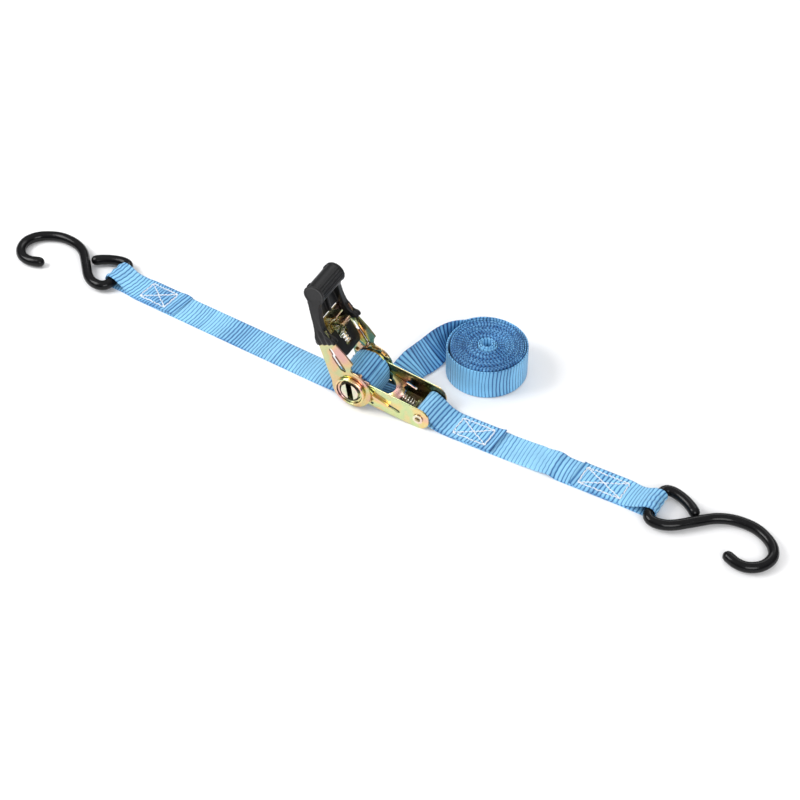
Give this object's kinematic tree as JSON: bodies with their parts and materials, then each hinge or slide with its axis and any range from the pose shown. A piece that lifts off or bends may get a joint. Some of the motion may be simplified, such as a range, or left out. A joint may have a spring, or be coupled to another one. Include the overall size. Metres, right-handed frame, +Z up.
{
  "type": "ratchet tie down",
  "caption": "Ratchet buckle tie-down strap with coated S-hooks, sewn end loops and the spare webbing rolled into a coil on its edge.",
  "frame": {"origin": "middle of the bounding box's underside, on the surface that the strap lies on", "axes": "+X along the strap from the long side's hook to the short side's hook, +Y across the webbing towards the rolled spare strap, +Z up"},
  "size_m": [0.65, 0.1318, 0.1002],
  "materials": {
    "zinc_plate": "yellow zinc plated pressed steel with pink and green iridescence, satin",
    "bright_steel": "bright plated steel with a faint pink tint, satin",
    "spring_wire": "bright drawn spring wire",
    "black_grip": "black moulded rubberised plastic, satin",
    "black_shield": "black moulded plastic, smooth satin",
    "hook_coating": "black dipped vinyl coating, glossy satin",
    "webbing": "blue woven polyester webbing with cross ribs and white box stitching"
  },
  "bodies": {
    "base": {"frame_channel": "zinc_plate", "end_pin": "bright_steel", "frame_pawl_spring": "spring_wire", "long_strap": "webbing", "short_strap": "webbing", "tail_strap": "webbing", "strap_coil": "webbing"},
    "spool": {"half_shaft_left": "bright_steel", "half_shaft_right": "bright_steel", "ratchet_wheel_near": "zinc_plate", "ratchet_wheel_far": "zinc_plate", "hub_washer_near": "zinc_plate", "hub_washer_far": "zinc_plate", "retaining_ring_near": "bright_steel", "retaining_ring_far": "bright_steel", "strap_roll": "webbing"},
    "handle": {"handle_yoke": "zinc_plate", "grip": "black_grip", "drive_pawl_spring": "spring_wire"},
    "frame_pawl": {"frame_pawl": "zinc_plate"},
    "drive_pawl": {"drive_pawl": "zinc_plate", "pawl_shield": "black_shield"},
    "hook_long": {"hook_long_side": "hook_coating"},
    "hook_short": {"hook_short_side": "hook_coating"}
  },
  "joints": [
    {"name": "spool_spin", "type": "hinge", "parent": "base", "child": "spool", "pos_m": [-0.00258, -0.0284, 0.01701], "axis": [0, 1, 0], "continuous": true},
    {"name": "handle_swing", "type": "hinge", "parent": "base", "child": "handle", "pos_m": [-0.00258, -0.0284, 0.01701], "axis": [0, -1, 0], "range_deg": [-82, 68]},
    {"name": "frame_pawl_slide", "type": "slide", "parent": "base", "child": "frame_pawl", "axis": [0.9438, 0, -0.3305], "range_m": [0, 0.004], "stiffness_N_per_m": 200, "springref_m": -0.004, "deforming": ["frame_pawl_spring"]},
    {"name": "drive_pawl_slide", "type": "slide", "parent": "handle", "child": "drive_pawl", "axis": [-0.5736, 0, 0.8192], "range_m": [0, 0.004], "stiffness_N_per_m": 200, "springref_m": -0.004, "deforming": ["drive_pawl_spring"]},
    {"name": "hook_long_swing", "type": "hinge", "parent": "base", "child": "hook_long", "pos_m": [-0.23145, -0.00555, 0.00566], "axis": [0.0993, 0.9951, 0], "range_deg": [0, 70]},
    {"name": "hook_short_swing", "type": "hinge", "parent": "base", "child": "hook_short", "pos_m": [0.23217, -0.03443, 0.00566], "axis": [-0.0332, -0.9995, 0], "range_deg": [0, 70]}
  ]
}
